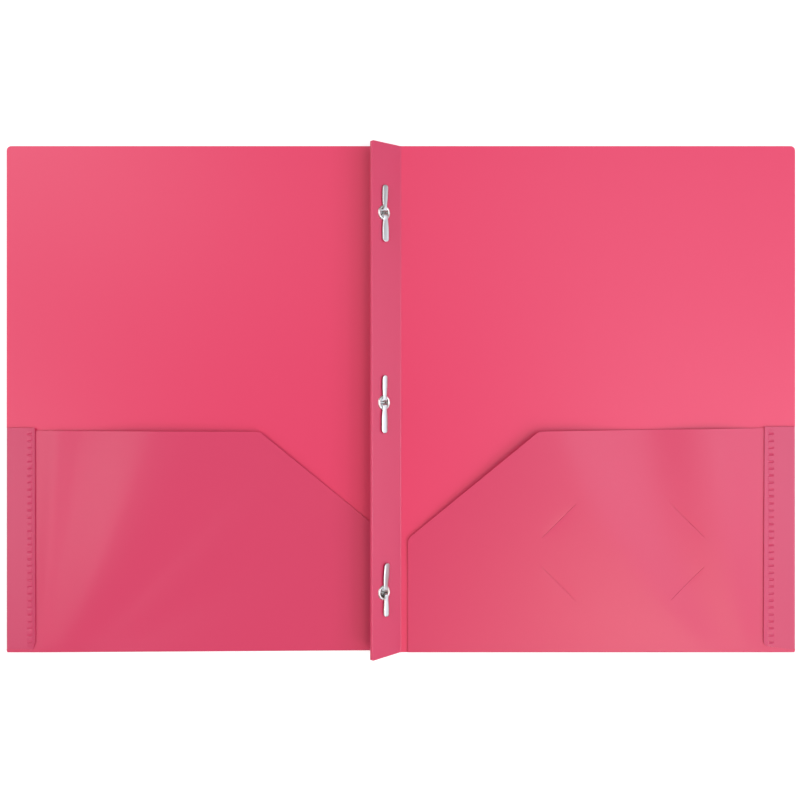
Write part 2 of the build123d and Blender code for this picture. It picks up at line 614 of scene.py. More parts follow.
@dataclass(frozen=True)
class Sheet:
    """Sizes of the folded sheet that the panels of one half share, in millimetres.

    Attributes:
        thickness: The polypropylene sheet.
        half_width: Half the open folder.
        half_height: Half the covers' height.
        pocket_start: Where the bottom fold and the pocket begin, off the middle.
        pocket_gap: Room between cover and pocket.
        mouth: Height of the pocket's mouth where the slanted cut begins.
        mouth_outer: Height of the mouth at the outer edge.
        flap_inner: Inner edge of the side flap.
        flap_low: Lower end of the side flap.
        flap_high: Upper end of the side flap.
        flap_inset: How far the flap's fold lies inside the cover's outer edge.
        askew: How far the bottom edge rises towards the spine.
        askew_start: Where that rise begins, off the middle.
        askew_high: Height below which the panels follow it.
        askew_run: How far below that they follow it in full.
        edge: Width of the edges that the cutting die leaves broken.
    """

    thickness: float = 0.5
    half_width: float = 227.5
    half_height: float = 146.05
    pocket_start: float = 4.0
    pocket_gap: float = 0.35
    mouth: float = -18.15
    mouth_outer: float = -18.15
    flap_inner: float = 209.6
    flap_low: float = -144.05
    flap_high: float = -16.55
    flap_inset: float = 0.35
    askew: float = 0.0
    askew_start: float = 204.75
    askew_high: float = -90.0
    askew_run: float = 50.0
    edge: float = 0.08

    @property
    def cover_level(self) -> float:
        """Middle of a cover's thickness."""
        return self.thickness / 2

    @property
    def pocket_level(self) -> float:
        """Middle of a pocket's thickness where it lies flat."""
        return 1.5 * self.thickness + self.pocket_gap

    @property
    def flap_level(self) -> float:
        """Middle of a side flap's thickness."""
        return self.pocket_level + self.thickness

    @property
    def bottom_edge(self) -> float:
        """Where the pockets turn over at the bottom."""
        return (self.pocket_level + self.thickness / 2) / 2 - self.half_height

    @property
    def flap_crease(self) -> float:
        """Where the side flap turns over at the outer edge."""
        fold = (self.flap_level + self.thickness / 2) / 2
        return self.half_width - self.flap_inset - fold

    def mouth_at(self, across: np.ndarray) -> np.ndarray:
        """Height of the pocket's mouth at distances from the middle."""
        share = np.clip(across / self.half_width, 0, 1)
        return self.mouth + (self.mouth_outer - self.mouth) * share

    def skewed(self, points: np.ndarray) -> np.ndarray:
        """Raise the bottom edge of a panel's points towards the spine.

        Args:
            points: Rows of X, Y and Z.

        Returns:
            The moved rows.
        """
        inward = np.clip(1 - points[:, 0] / self.askew_start, 0, 1)
        below = ease((self.askew_high - points[:, 1]) / self.askew_run)
        points[:, 1] += self.askew * inward * below
        return points


@dataclass(frozen=True)
class Spine:
    """Sizes and directions of the pleat between the covers, in millimetres and degrees.

    Attributes:
        sheet: The sheet that the pleat is folded from.
        offset: How far the spine lies left of the middle.
        width: How far the fin reaches from its foot to the middle of the ridge.
        lean: Angle between the fin and the left cover.
        layer_gap: Room between the fin's two layers.
        front_radius: Inner radius of the fold to the right cover.
        back_radius: Inner radius of the fold to the left cover.
    """

    sheet: Sheet
    offset: float = 1.7
    width: float = 20.2
    lean: float = 41.0
    layer_gap: float = 0.1
    front_radius: float = 1.2
    back_radius: float = 0.7

    @property
    def thickness(self) -> float:
        """Thickness of the fin's two layers."""
        return 2 * self.sheet.thickness + self.layer_gap

    @property
    def up(self) -> Vector:
        """Direction up the fin, from its foot to its ridge."""
        lean = math.radians(self.lean)
        return Vector((-math.cos(lean), 0, math.sin(lean)))

    @property
    def front(self) -> Vector:
        """Direction out of the fin's front face."""
        lean = math.radians(self.lean)
        return Vector((math.sin(lean), 0, math.cos(lean)))

    @property
    def crease(self) -> float:
        """Distance of each fold's axis from the spine's own middle."""
        rise = (self.front_radius - self.back_radius) * self.front.z
        radii = self.front_radius + self.back_radius
        return (radii + self.thickness - rise) / self.front.x / 2

    def crease_at(self, side: Side) -> float:
        """Distance of one cover's inner edge from the folder's middle."""
        return self.crease - side.value * self.offset

    @property
    def front_axis(self) -> Vector:
        """Middle of the axis that the fin folds about on the right cover."""
        crease = self.crease_at(Side.RIGHT)
        return Vector((crease, 0, self.sheet.thickness + self.front_radius))

    @property
    def back_axis(self) -> Vector:
        """Middle of the axis that the left cover folds about on the fin."""
        crease = self.crease_at(Side.LEFT)
        return Vector((-crease, 0, self.sheet.thickness + self.back_radius))

    @property
    def foot(self) -> Vector:
        """Middle of the foot of the fin's front face."""
        return self.front_axis - self.front * self.front_radius

    @property
    def back_foot(self) -> float:
        """How far up the fin its back layer begins."""
        return (self.back_axis - self.foot).dot(self.up)

    def point(self, along: float, up: float, out: float) -> Vector:
        """A point given by its place along the spine, up the fin's front face and off it."""
        return self.foot + Vector((0, along, 0)) + self.up * up + self.front * out

    def seat(self, along: float, up: float, out: float, turn: int = 1) -> Matrix:
        """The place of a fitting on the fin.

        Args:
            along: Its place along the spine.
            up: Its place up the fin.
            out: Its height off the front face.
            turn: 1 if its own Y runs up the spine, and -1 if it runs down.

        Returns:
            A matrix whose Z axis points out of the front face.
        """
        axes = (self.up * -turn, Vector((0, turn, 0)), self.front)
        seat = Matrix.Identity(4)
        for column, axis in enumerate(axes):
            for row in range(3):
                seat[row][column] = axis[row]
        seat.translation = self.point(along, up, out)
        return seat


@dataclass
class Panel(ABC):
    """A panel of the folded sheet on one half of the folder.

    Attributes:
        side: Which half it belongs to.
        sheet: The sheet's sizes on that half.
    """

    side: Side
    sheet: Sheet

    @abstractmethod
    def _is_seam(self, middle: Vector) -> bool:
        """Say if the sheet runs on into another panel at the middle of an edge."""

    def _finish(self, piece: bpy.types.Object, material: bpy.types.Material, node: str) -> None:
        """Give a shaped panel its thickness, its edges, its place and its material.

        Args:
            piece: The panel's middle surface.
            material: The sheet's material.
            node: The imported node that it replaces, without its side.
        """
        thicken(piece, self.sheet.thickness)
        soften(piece, self.sheet.edge, self._is_seam)
        reshape(piece, self.sheet.skewed)
        settle(piece, self.side)
        dress(piece, material)
        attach(piece, self.side.body)
        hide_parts(f"{self.side.word}_{node}")


@dataclass
class Cover(Panel):
    """One cover: a flat panel from the spine's crease to the outer edge.

    Attributes:
        crease: Its inner edge, off the folder's middle.
        corner_radius: Rounding of its free outer corner.
    """

    crease: float
    corner_radius: float = 2.6

    def build(self, material: bpy.types.Material) -> bpy.types.Object:
        """Shape the cover, leaving room for the folds of its pocket and flap.

        Args:
            material: The sheet's material.

        Returns:
            The finished piece.
        """
        sheet = self.sheet
        top = sheet.half_height
        piece = plate(
            f"{self.side.word}_cover_panel",
            (self.crease, -top),
            (sheet.half_width, top),
            sheet.cover_level,
        )
        with editing(piece):
            round_corner(piece, (sheet.half_width, top), self.corner_radius)
            rule(piece, 0, [sheet.pocket_start, sheet.flap_crease])
            rule(piece, 1, [sheet.bottom_edge, sheet.flap_low, sheet.flap_high])
            choose(piece, Element.FACE, self._is_folded_over)
            bpy.ops.mesh.delete(type="FACE")
        self._finish(piece, material, "cover")
        return piece

    def _is_folded_over(self, middle: Vector) -> bool:
        """Say if a place belongs to the pocket's or the flap's fold.

        Args:
            middle: The middle of a face.

        Returns:
            True if it does.
        """
        sheet = self.sheet
        beside = sheet.flap_low < middle.y < sheet.flap_high
        below = middle.x > sheet.pocket_start and middle.y < sheet.bottom_edge
        return below or (beside and middle.x > sheet.flap_crease)

    def _is_seam(self, middle: Vector) -> bool:
        """Say if the sheet runs on at an edge, into the fin or a fold.

        Args:
            middle: The middle of an edge.

        Returns:
            True if it does.
        """
        sheet = self.sheet
        at_spine = middle.x < self.crease + NEAR
        at_pocket = abs(middle.y - sheet.bottom_edge) < NEAR
        at_flap = abs(middle.x - sheet.flap_crease) < NEAR
        return at_spine or at_pocket or at_flap


@dataclass(frozen=True)
class Buckle:
    """How a pocket stands off its cover in soft waves that run down to its outer corner.

    The lift grows from the bottom fold to the mouth. Places and lifts are along the mouth in
    millimetres. The places draw closer together towards the bottom.

    Attributes:
        places: Where the waves' crests and hollows are, from the spine outwards.
        lifts: Their lifts. The last wave ends in 0 at the flap.
        apex: Spacing of the places at the bottom fold, as a share of that at the mouth.
        spread: How much faster the spacing grows at the bottom than at the mouth.
        swell: How much faster the lift grows at the bottom than at the mouth.
    """

    places: tuple[float, ...]
    lifts: tuple[float, ...]
    apex: float
    spread: float
    swell: float

    def lift(self, across: np.ndarray, rise: np.ndarray, sheet: Sheet) -> np.ndarray:
        """Find the lift of points on a pocket.

        Args:
            across: Distances from the folder's middle.
            rise: Heights above the bottom fold as shares of the pocket's height.
            sheet: The sheet's sizes.

        Returns:
            The lift of each point.
        """
        spacing = self.apex + (1 - self.apex) * rise * (1 + self.spread * (1 - rise))
        place = sheet.flap_inner - (sheet.flap_inner - across) / spacing
        marks = np.array((*self.places, sheet.flap_inner))
        lifts = np.array((*self.lifts, 0.0))
        wave = np.clip(np.searchsorted(marks, place) - 1, 0, len(marks) - 2)
        gone = (place - marks[wave]) / (marks[wave + 1] - marks[wave])
        lift = lifts[wave] + (lifts[wave + 1] - lifts[wave]) * ease(gone)
        return lift * rise * (1 + self.swell * (1 - rise))


@dataclass(frozen=True)
class CardSlits:
    """Four slanted slits that take the corners of a business card, in millimetres.

    Attributes:
        middle: The card's middle on the pocket.
        reach: Distance of each slit's middle from it, across and up.
        length: Length of a slit.
        breadth: How far a slit gapes.
        dent: How far the sheet sinks in at a slit.
        dent_reach: How far from the slit it sinks, on the card's side and beyond the slit.
        margin: How far round a slit the panel's faces are cut to fit it.
    """

    middle: tuple[float, float] = (127.8, -88.05)
    reach: tuple[float, float] = (37.17, 18.12)
    length: float = 27.0
    breadth: float = 0.08
    dent: float = 0.16
    dent_reach: tuple[float, float] = (9.0, 5.0)
    margin: float = 6.0

    def slits(self) -> Iterator[Slit]:
        """Find where the four slits are.

        Yields:
            Each slit's middle, its direction and the direction away from the card.
        """
        for side in (-1, 1):
            for end in (-1, 1):
                away = Vector((side, end, 0)).normalized()
                line = Vector((-away.y, away.x, 0))
                offset = Vector((side * self.reach[0], end * self.reach[1], 0))
                yield Vector((*self.middle, 0)) + offset, line, away

    def _near(self, slit: Slit, margin: float, spot: Vector) -> bool:
        """Say if a place is in a slit or within a margin of it.

        Args:
            slit: The slit's middle, its direction and the direction away from the card.
            margin: How far from the slit still counts.
            spot: The place.

        Returns:
            True if it is.
        """
        middle, line, away = slit
        offset = Vector((spot.x, spot.y, 0)) - middle
        beside = abs(offset.dot(away)) < self.breadth / 2 + margin
        return beside and abs(offset.dot(line)) < self.length / 2 + margin

    def open(self, piece: bpy.types.Object) -> None:
        """Cut the slits through a flat panel.

        Args:
            piece: The panel, in edit mode.
        """
        half, gape = self.length / 2, self.breadth / 2
        for slit in self.slits():
            middle, line, away = slit
            for facing, reach in ((away, gape), (away, -gape), (line, half), (line, -half)):
                choose(piece, Element.FACE, partial(self._near, slit, self.margin))
                cut(middle + facing * reach, facing)
            choose(piece, Element.FACE, partial(self._near, slit, 0.0))
            bpy.ops.mesh.delete(type="FACE")

    def sink(self, across: np.ndarray, up: np.ndarray) -> np.ndarray:
        """Find how far the sheet sinks in at points of the panel.

        Args:
            across: Distances of points from the folder's middle.
            up: Their heights up the covers.

        Returns:
            How far each point sinks.
        """
        total = np.zeros_like(across)
        inside, beyond = self.dent_reach
        for middle, line, away in self.slits():
            east, north = across - middle.x, up - middle.y
            off = east * away.x + north * away.y
            run = (east * line.x + north * line.y) / (self.length / 2)
            taper = np.clip(1 - run**2, 0, 1)
            near = np.clip(1 - np.where(off > 0, off / beyond, -off / inside), 0, 1)
            total += self.dent * taper * near**2
        return total


@dataclass
class Pocket(Panel):
    """One pocket: the sheet turned up along the bottom edge and cut away towards the spine.

    Attributes:
        buckle: How it stands off the cover.
        cut_reach: Where the slanted cut meets the mouth.
        cut_foot: Where the slanted cut meets the inner edge.
        slits: Its card slits, if it has them.
        corner_radius: Rounding of the cut's two ends.
        clearance: Room beside the flap's fold.
        setback: How far the end of the bottom fold lies inside the flap's fold.
        grid: Spacing of the mesh.
    """

    buckle: Buckle
    cut_reach: float
    cut_foot: float
    slits: CardSlits | None = None
    corner_radius: float = 5.0
    clearance: float = 0.1
    setback: float = 0.2
    grid: float = 2.5

    def build(self, material: bpy.types.Material) -> bpy.types.Object:
        """Shape the pocket with its bottom fold.

        Args:
            material: The sheet's material.

        Returns:
            The finished piece.
        """
        sheet = self.sheet
        low, high = sheet.bottom_edge, max(sheet.mouth, sheet.mouth_outer)
        inner = sheet.pocket_start
        outer = sheet.half_width - sheet.flap_inset - self.setback
        piece = plate(
            f"{self.side.word}_pocket_panel",
            (inner, low),
            (outer, high),
            sheet.pocket_level,
        )
        corner, foot = (self.cut_reach, sheet.mouth), (inner, self.cut_foot)
        slope = math.atan2(corner[1] - foot[1], corner[0] - foot[0])
        corner_reach = self.corner_radius * math.tan(slope / 2)
        foot_reach = self.corner_radius * math.tan(math.pi / 4 - slope / 2)
        with editing(piece):
            trim((outer, sheet.mouth_outer), corner)
            trim(corner, foot)
            round_corner(piece, corner, corner_reach)
            round_corner(piece, foot, foot_reach)
            side = sheet.flap_crease - self.clearance
            step = sheet.flap_low - self.clearance
            rule(piece, 0, [side, *even(inner, side, self.grid)])
            rule(piece, 1, [step, *even(step, high, self.grid)])
            choose(piece, Element.FACE, lambda spot: spot.x > side and spot.y > step)
            bpy.ops.mesh.delete(type="FACE")
            if self.slits:
                self.slits.open(piece)
        reshape(piece, self._lifted)
        self._turn_over(piece)
        self._finish(piece, material, "pocket")
        return piece

    def _lifted(self, points: np.ndarray) -> np.ndarray:
        """Raise a flat panel's points by the buckle, and sink them at the slits.

        Args:
            points: Rows of X, Y and Z.

        Returns:
            The moved rows.
        """
        across, up = points[:, 0], points[:, 1]
        low = self.sheet.bottom_edge
        rise = np.clip((up - low) / (self.sheet.mouth_at(across) - low), 0, 1)
        points[:, 2] += self.buckle.lift(across, rise, self.sheet)
        if self.slits:
            points[:, 2] -= self.slits.sink(across, up)
        return points

    def _turn_over(self, piece: bpy.types.Object) -> None:
        """Turn the panel's lower edge over into the cover.

        Args:
            piece: The panel.
        """
        low = self.sheet.bottom_edge
        fold = (self.sheet.pocket_level + self.sheet.cover_level) / 2
        turn_over(
            piece,
            lambda point: point.y < low + NEAR,
            middle=(0, low, fold),
            axis=(1, 0, 0),
            steps=10,
        )

    def _is_seam(self, middle: Vector) -> bool:
        """Say if the sheet runs on into the cover at an edge."""
        at_fold = middle.y > self.sheet.bottom_edge - NEAR
        return at_fold and middle.z < self.sheet.thickness + NEAR


@dataclass
class SideFlap(Panel):
    """One side flap: turned in over the pocket and welded to it in a row of dashes.

    Attributes:
        trims: Straight cuts of its outline, from one point to another with the flap on the left.
        corner: A place near its lower inner corner.
        corner_reach: Rounding of that corner.
        weld_across: Place of the weld row.
        weld_length: Length of a dash, across the flap.
        weld_breadth: Breadth of a dash, up the flap.
        weld_depth: How deep a dash is pressed.
        weld_swell: How far the plastic swells up between the dashes.
        weld_pitch: Spacing of the dashes.
        weld_count: How many there are.
        curl: How far the free inner edge stands up off the pocket.
        grid: Spacing of the mesh at the welds.
    """

    trims: Sequence[tuple[tuple[float, float], tuple[float, float]]]
    corner: tuple[float, float]
    corner_reach: float
    weld_across: float
    weld_length: float
    weld_breadth: float = 1.0
    weld_depth: float = 0.4
    weld_swell: float = 0.1
    weld_pitch: float = 4.0
    weld_count: int = 31
    curl: float = 0.3
    grid: float = 0.3

    @property
    def weld_strip(self) -> tuple[float, float]:
        """The two edges of the strip that the weld row takes up."""
        half = self.weld_length / 2 + 2 * self.grid
        return self.weld_across - half, self.weld_across + half

    def build(self, material: bpy.types.Material) -> bpy.types.Object:
        """Shape the flap with its welds and its fold.

        Args:
            material: The sheet's material.

        Returns:
            The finished piece.
        """
        sheet = self.sheet
        low, high = sheet.flap_low, sheet.flap_high
        piece = plate(
            f"{self.side.word}_flap_panel",
            (sheet.flap_inner, low),
            (sheet.flap_crease, high),
            sheet.flap_level,
        )
        first, last = self.weld_strip
        with editing(piece):
            for start, stop in self.trims:
                trim(start, stop)
            round_corner(piece, self.corner, self.corner_reach)
            rule(piece, 0, [first, last])
            for axis, ends in enumerate(((first, last), (low, high))):
                marks = even(*ends, self.grid)
                rule(piece, axis, marks, lambda spot: first < spot.x < last)
        reshape(piece, self._welded)
        self._turn_over(piece)
        self._finish(piece, material, "side_flap")
        return piece

    def _welded(self, points: np.ndarray) -> np.ndarray:
        """Press the weld dashes into a flat panel's points, and curl its free edge up.

        Args:
            points: Rows of X, Y and Z.

        Returns:
            The moved rows.
        """
        middle = (self.sheet.flap_low + self.sheet.flap_high) / 2
        run = (points[:, 1] - middle) / self.weld_pitch
        odd = 0.0 if self.weld_count % 2 else 0.5
        nearest = np.round(run - odd) + odd
        beside = np.abs(run - nearest) * self.weld_pitch
        beyond = np.abs(points[:, 0] - self.weld_across)
        soft = self.grid
        across = ease((self.weld_length / 2 + soft - beyond) / (2 * soft))
        along = ease((self.weld_breadth / 2 + soft - beside) / (2 * soft))
        inside = np.abs(nearest) < self.weld_count / 2
        press = self.weld_depth * along - self.weld_swell * (1 - along)
        points[:, 2] -= np.where(inside, press * across, 0)
        edge, row = self.sheet.flap_inner, self.weld_strip[0]
        points[:, 2] += self.curl * np.clip((row - points[:, 0]) / (row - edge), 0, 1)
        return points

    def _turn_over(self, piece: bpy.types.Object) -> None:
        """Turn the flap's outer edge over into the cover.

        Args:
            piece: The panel.
        """
        crease = self.sheet.flap_crease
        fold = (self.sheet.flap_level + self.sheet.cover_level) / 2
        turn_over(
            piece,
            lambda point: point.x > crease - NEAR,
            middle=(crease, 0, fold),
            axis=(0, 1, 0),
            steps=12,
        )

    def _is_seam(self, middle: Vector) -> bool:
        """Say if the sheet runs on into the cover at an edge."""
        at_fold = middle.x < self.sheet.flap_crease + NEAR
        return at_fold and middle.z < self.sheet.thickness + NEAR


@dataclass
class SpineFin:
    """The pleat that carries the fasteners: two layers of the sheet that meet at a ridge.

    Attributes:
        spine: The spine's sizes.
        holes: Places of the eyelets' holes along the spine.
        hole_up: Their place up the fin.
        hole_radius: Their radius.
        corner_radius: Rounding of the ridge's two ends.
        tail: How far the ridge runs out below the covers.
        tail_start: Height where it begins to.
        tail_run: How far below that it has run out in full.
        ridge_radius: Radius of the ridge's loop at the middle of the sheet's thickness.
        run_in: How far below the ridge the back layer has come in to the front one.
        margin: How far the fine mesh at the ridge runs on past its curves.
        fine: Spacing of the mesh at the ridge.
        coarse: Spacing of the mesh on the flat layers.
        rows: Spacing of the mesh along the spine.
    """

    spine: Spine
    holes: Sequence[float]
    hole_up: float
    hole_radius: float = 3.03
    corner_radius: float = 1.6
    tail: float = 1.5
    tail_start: float = -100.0
    tail_run: float = 46.0
    ridge_radius: float = 0.75
    run_in: float = 3.0
    margin: float = 0.4
    fine: float = 0.2
    coarse: float = 4.0
    rows: float = 6.0

    def build(self, material: bpy.types.Material) -> bpy.types.Object:
        """Fold the fin, round its ends and punch its holes.

        Args:
            material: The sheet's material.

        Returns:
            The finished piece.
        """
        spine, sheet = self.spine, self.spine.sheet
        turn = math.pi * self.ridge_radius
        length = 2 * spine.width + turn - spine.back_foot
        piece = plate(
            "spine_fin_pleat", (0, -sheet.half_height), (length, sheet.half_height), 0
        )
        near = max(self.corner_radius, self.run_in) + self.margin
        ridge, back = spine.width, spine.width + turn
        ends = (0, ridge - near, ridge, back, back + near, length)
        steps = (self.coarse, self.fine, turn / 10, self.fine, self.coarse)
        marks = list(ends[1:-1])
        for low, high, step in zip(ends, ends[1:], steps):
            marks += even(low, high, step)
        with editing(piece):
            rule(piece, 0, marks)
            rule(piece, 1, even(-sheet.half_height, sheet.half_height, self.rows))
        reshape(piece, self._folded)
        thicken(piece, sheet.thickness)
        self._punch(piece)
        soften(piece, sheet.edge, self._is_seam)
        settle(piece)
        dress(piece, material)
        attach(piece, "spine")
        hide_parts("spine_fin")
        return piece

    def _folded(self, points: np.ndarray) -> np.ndarray:
        """Fold a flat strip's points into the pleat and round the ends of its ridge.

        Args:
            points: Rows of X, Y and Z.

        Returns:
            The moved rows.
        """
        spine, radius = self.spine, self.ridge_radius
        half = spine.sheet.thickness / 2
        run = points[:, 0]
        turn = math.pi * radius
        angle = np.clip((run - spine.width) / radius, 0, math.pi)
        up = np.where(run <= spine.width, run, spine.width + radius * np.sin(angle))
        up = np.where(run > spine.width + turn, 2 * spine.width + turn - run, up)
        depth = half + radius * (1 - np.cos(angle))
        swell = 2 * radius - (spine.thickness - spine.sheet.thickness)
        depth -= np.where(angle < math.pi, 0, swell * ease((spine.width - up) / self.run_in))
        end = spine.width + radius + half
        inward = np.clip(self.corner_radius - (end - up), 0, self.corner_radius)
        inset = self.corner_radius - np.sqrt(self.corner_radius**2 - inward**2)
        at_end = np.abs(points[:, 1]) > spine.sheet.half_height - NEAR
        along = points[:, 1] - np.where(at_end, np.sign(points[:, 1]) * inset, 0)
        along -= self.tail * up / spine.width * ease((self.tail_start - along) / self.tail_run)
        flat = np.outer(up, spine.up) - np.outer(depth, spine.front)
        flat[:, 1] = along
        return flat + np.array(spine.foot)

    def _punch(self, piece: bpy.types.Object) -> None:
        """Punch the three holes through both layers.

        Args:
            piece: The folded fin.
        """
        spine = self.spine
        for along in self.holes:
            punch = add(
                bpy.ops.mesh.primitive_cylinder_add,
                vertices=40,
                radius=self.hole_radius,
                depth=6 * spine.thickness,
            )
            punch.matrix_world = spine.seat(along, self.hole_up, 0)
            work(piece, "BOOLEAN", operation="DIFFERENCE", solver="EXACT", object=punch)
            bpy.data.objects.remove(punch)

    def _is_seam(self, middle: Vector) -> bool:
        """Say if the sheet runs on into a fold at an edge.

        Args:
            middle: The middle of an edge.

        Returns:
            True if it does.
        """
        spine = self.spine
        up = (middle - spine.foot).dot(spine.up)
        depth = -(middle - spine.foot).dot(spine.front)
        if depth < spine.sheet.thickness + spine.layer_gap / 2:
            return up < NEAR
        return up < spine.back_foot + NEAR


@dataclass
class FoldStrip:
    """A strip of the sheet that bends where a panel folds.

    Attributes:
        name: The piece's name.
        sheet: The sheet's sizes.
        axis: A point of the fold's axis, which runs along the spine.
        radius: Inner radius of the fold.
        start: Direction from the axis to the strip's first edge, in degrees from +X to +Z.
        sweep: How far the strip goes round, in degrees.
        bodies: The bodies at its first and last edge.
        steps: How many faces it has round the fold.
    """

    name: str
    sheet: Sheet
    axis: Vector
    radius: float
    start: float
    sweep: float
    bodies: tuple[str, str]
    steps: int = 16

    def _rim(self, degrees: float) -> Vector:
        """A point of the strip's middle surface."""
        angle, radius = math.radians(degrees), self.radius + self.sheet.thickness / 2
        return self.axis + Vector((math.cos(angle), 0, math.sin(angle))) * radius

    def build(
        self, material: bpy.types.Material, blend: tuple[Vector, Vector]
    ) -> bpy.types.Object:
        """Spin the strip round its fold.

        Args:
            material: The sheet's material.
            blend: Where the strip would stop following the first body and start following the last;
                not used.

        Returns:
            The finished strip.
        """
        first, half = self._rim(self.start), self.sheet.half_height
        blank = self.sheet.thickness
        piece = plate(self.name, (first.x, -half), (first.x + blank, half), first.z)
        with editing(piece):
            choose(piece, Element.POINT, lambda point: point.x > first.x + NEAR)
            bpy.ops.mesh.delete(type="VERT")
            bpy.ops.mesh.select_all(action="SELECT")
            bpy.ops.mesh.spin(
                steps=self.steps,
                angle=math.radians(self.sweep),
                center=self.axis,
                axis=(0, 1, 0),
            )
            merge()
        thicken(piece, self.sheet.thickness)
        settle(piece)
        dress(piece, material)
        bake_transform(piece)
        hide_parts("spine_fin")
        return piece


@dataclass
class Eyelet:
    """A round eyelet: a barrel through the fin with a rolled rim in front and a flare behind.

    Attributes:
        bore: Radius of its bore.
        rim: Radius of the rolled rim's section.
        flare: Radius of the flare's section.
        wall: Thickness of its metal.
        barrel: Length between the rim and the flare, which is the fin's thickness.
    """

    barrel: float
    bore: float = 2.75
    rim: float = 0.8
    flare: float = 0.45
    wall: float = 0.22

    def model(self) -> bpy.types.Object:
        """Spin one eyelet about the Z axis, to be copied.

        Returns:
            The eyelet to copy.
        """
        piece = add(
            bpy.ops.mesh.primitive_circle_add,
            vertices=32,
            radius=self.rim,
            location=(self.bore + self.rim, 0, 0),
            rotation=(math.pi / 2, 0, 0),
        )
        bpy.ops.object.transform_apply()
        with editing(piece):
            choose(piece, Element.POINT, lambda point: point.z < -NEAR)
            bpy.ops.mesh.delete(type="VERT")
            choose(
                piece,
                Element.POINT,
                lambda point: point.x < self.bore + NEAR and abs(point.z) < NEAR,
            )
            bpy.ops.mesh.extrude_region_move(
                TRANSFORM_OT_translate={"value": (0, 0, -self.barrel)}
            )
            bpy.ops.mesh.spin(
                steps=12,
                angle=math.pi,
                center=(self.bore + self.flare, 0, -self.barrel),
                axis=(0, 1, 0),
            )
            bpy.ops.mesh.select_all(action="SELECT")
            bpy.ops.mesh.spin(steps=56, angle=math.tau, center=(0, 0, 0), axis=(0, 0, 1))
            merge()
        thicken(piece, self.wall, offset=-1)
        return piece

    def build(
        self,
        model: bpy.types.Object,
        place: str,
        seat: Matrix,
        material: bpy.types.Material,
    ) -> bpy.types.Object:
        """Copy the modelled eyelet and seat the copy on the fin.

        Args:
            model: The eyelet to copy.
            place: Which of the fasteners it belongs to.
            seat: Where its middle is on the fin's front face.
            material: The plated metal.

        Returns:
            The finished eyelet.
        """
        piece = twin(model, f"{place}_eyelet_ring")
        place_on(piece, seat)
        settle(piece)
        dress(piece, material)
        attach(piece, "spine")
        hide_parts(f"{place}_eyelet")
        return piece


class ProngWidth(Enum):
    """The two widths of a fastener's prongs, in millimetres."""

    NARROW = 3.6
    WIDE = 4.2


@dataclass(frozen=True)
class Prong:
    """One prong of a fastener as it was bent over.

    Attributes:
        width: Its width.
        reach: Distance of its tip from the eyelet's middle.
        swing: How far its tip swings towards the fin's foot, in degrees.
        shift: How far its root stands off the eyelet's middle towards the fin's foot.
        roll: How far its face is twisted towards the ridge, in degrees.
    """

    width: ProngWidth
    reach: float
    swing: float = 0.0
    shift: float = 0.0
    roll: float = 0.0


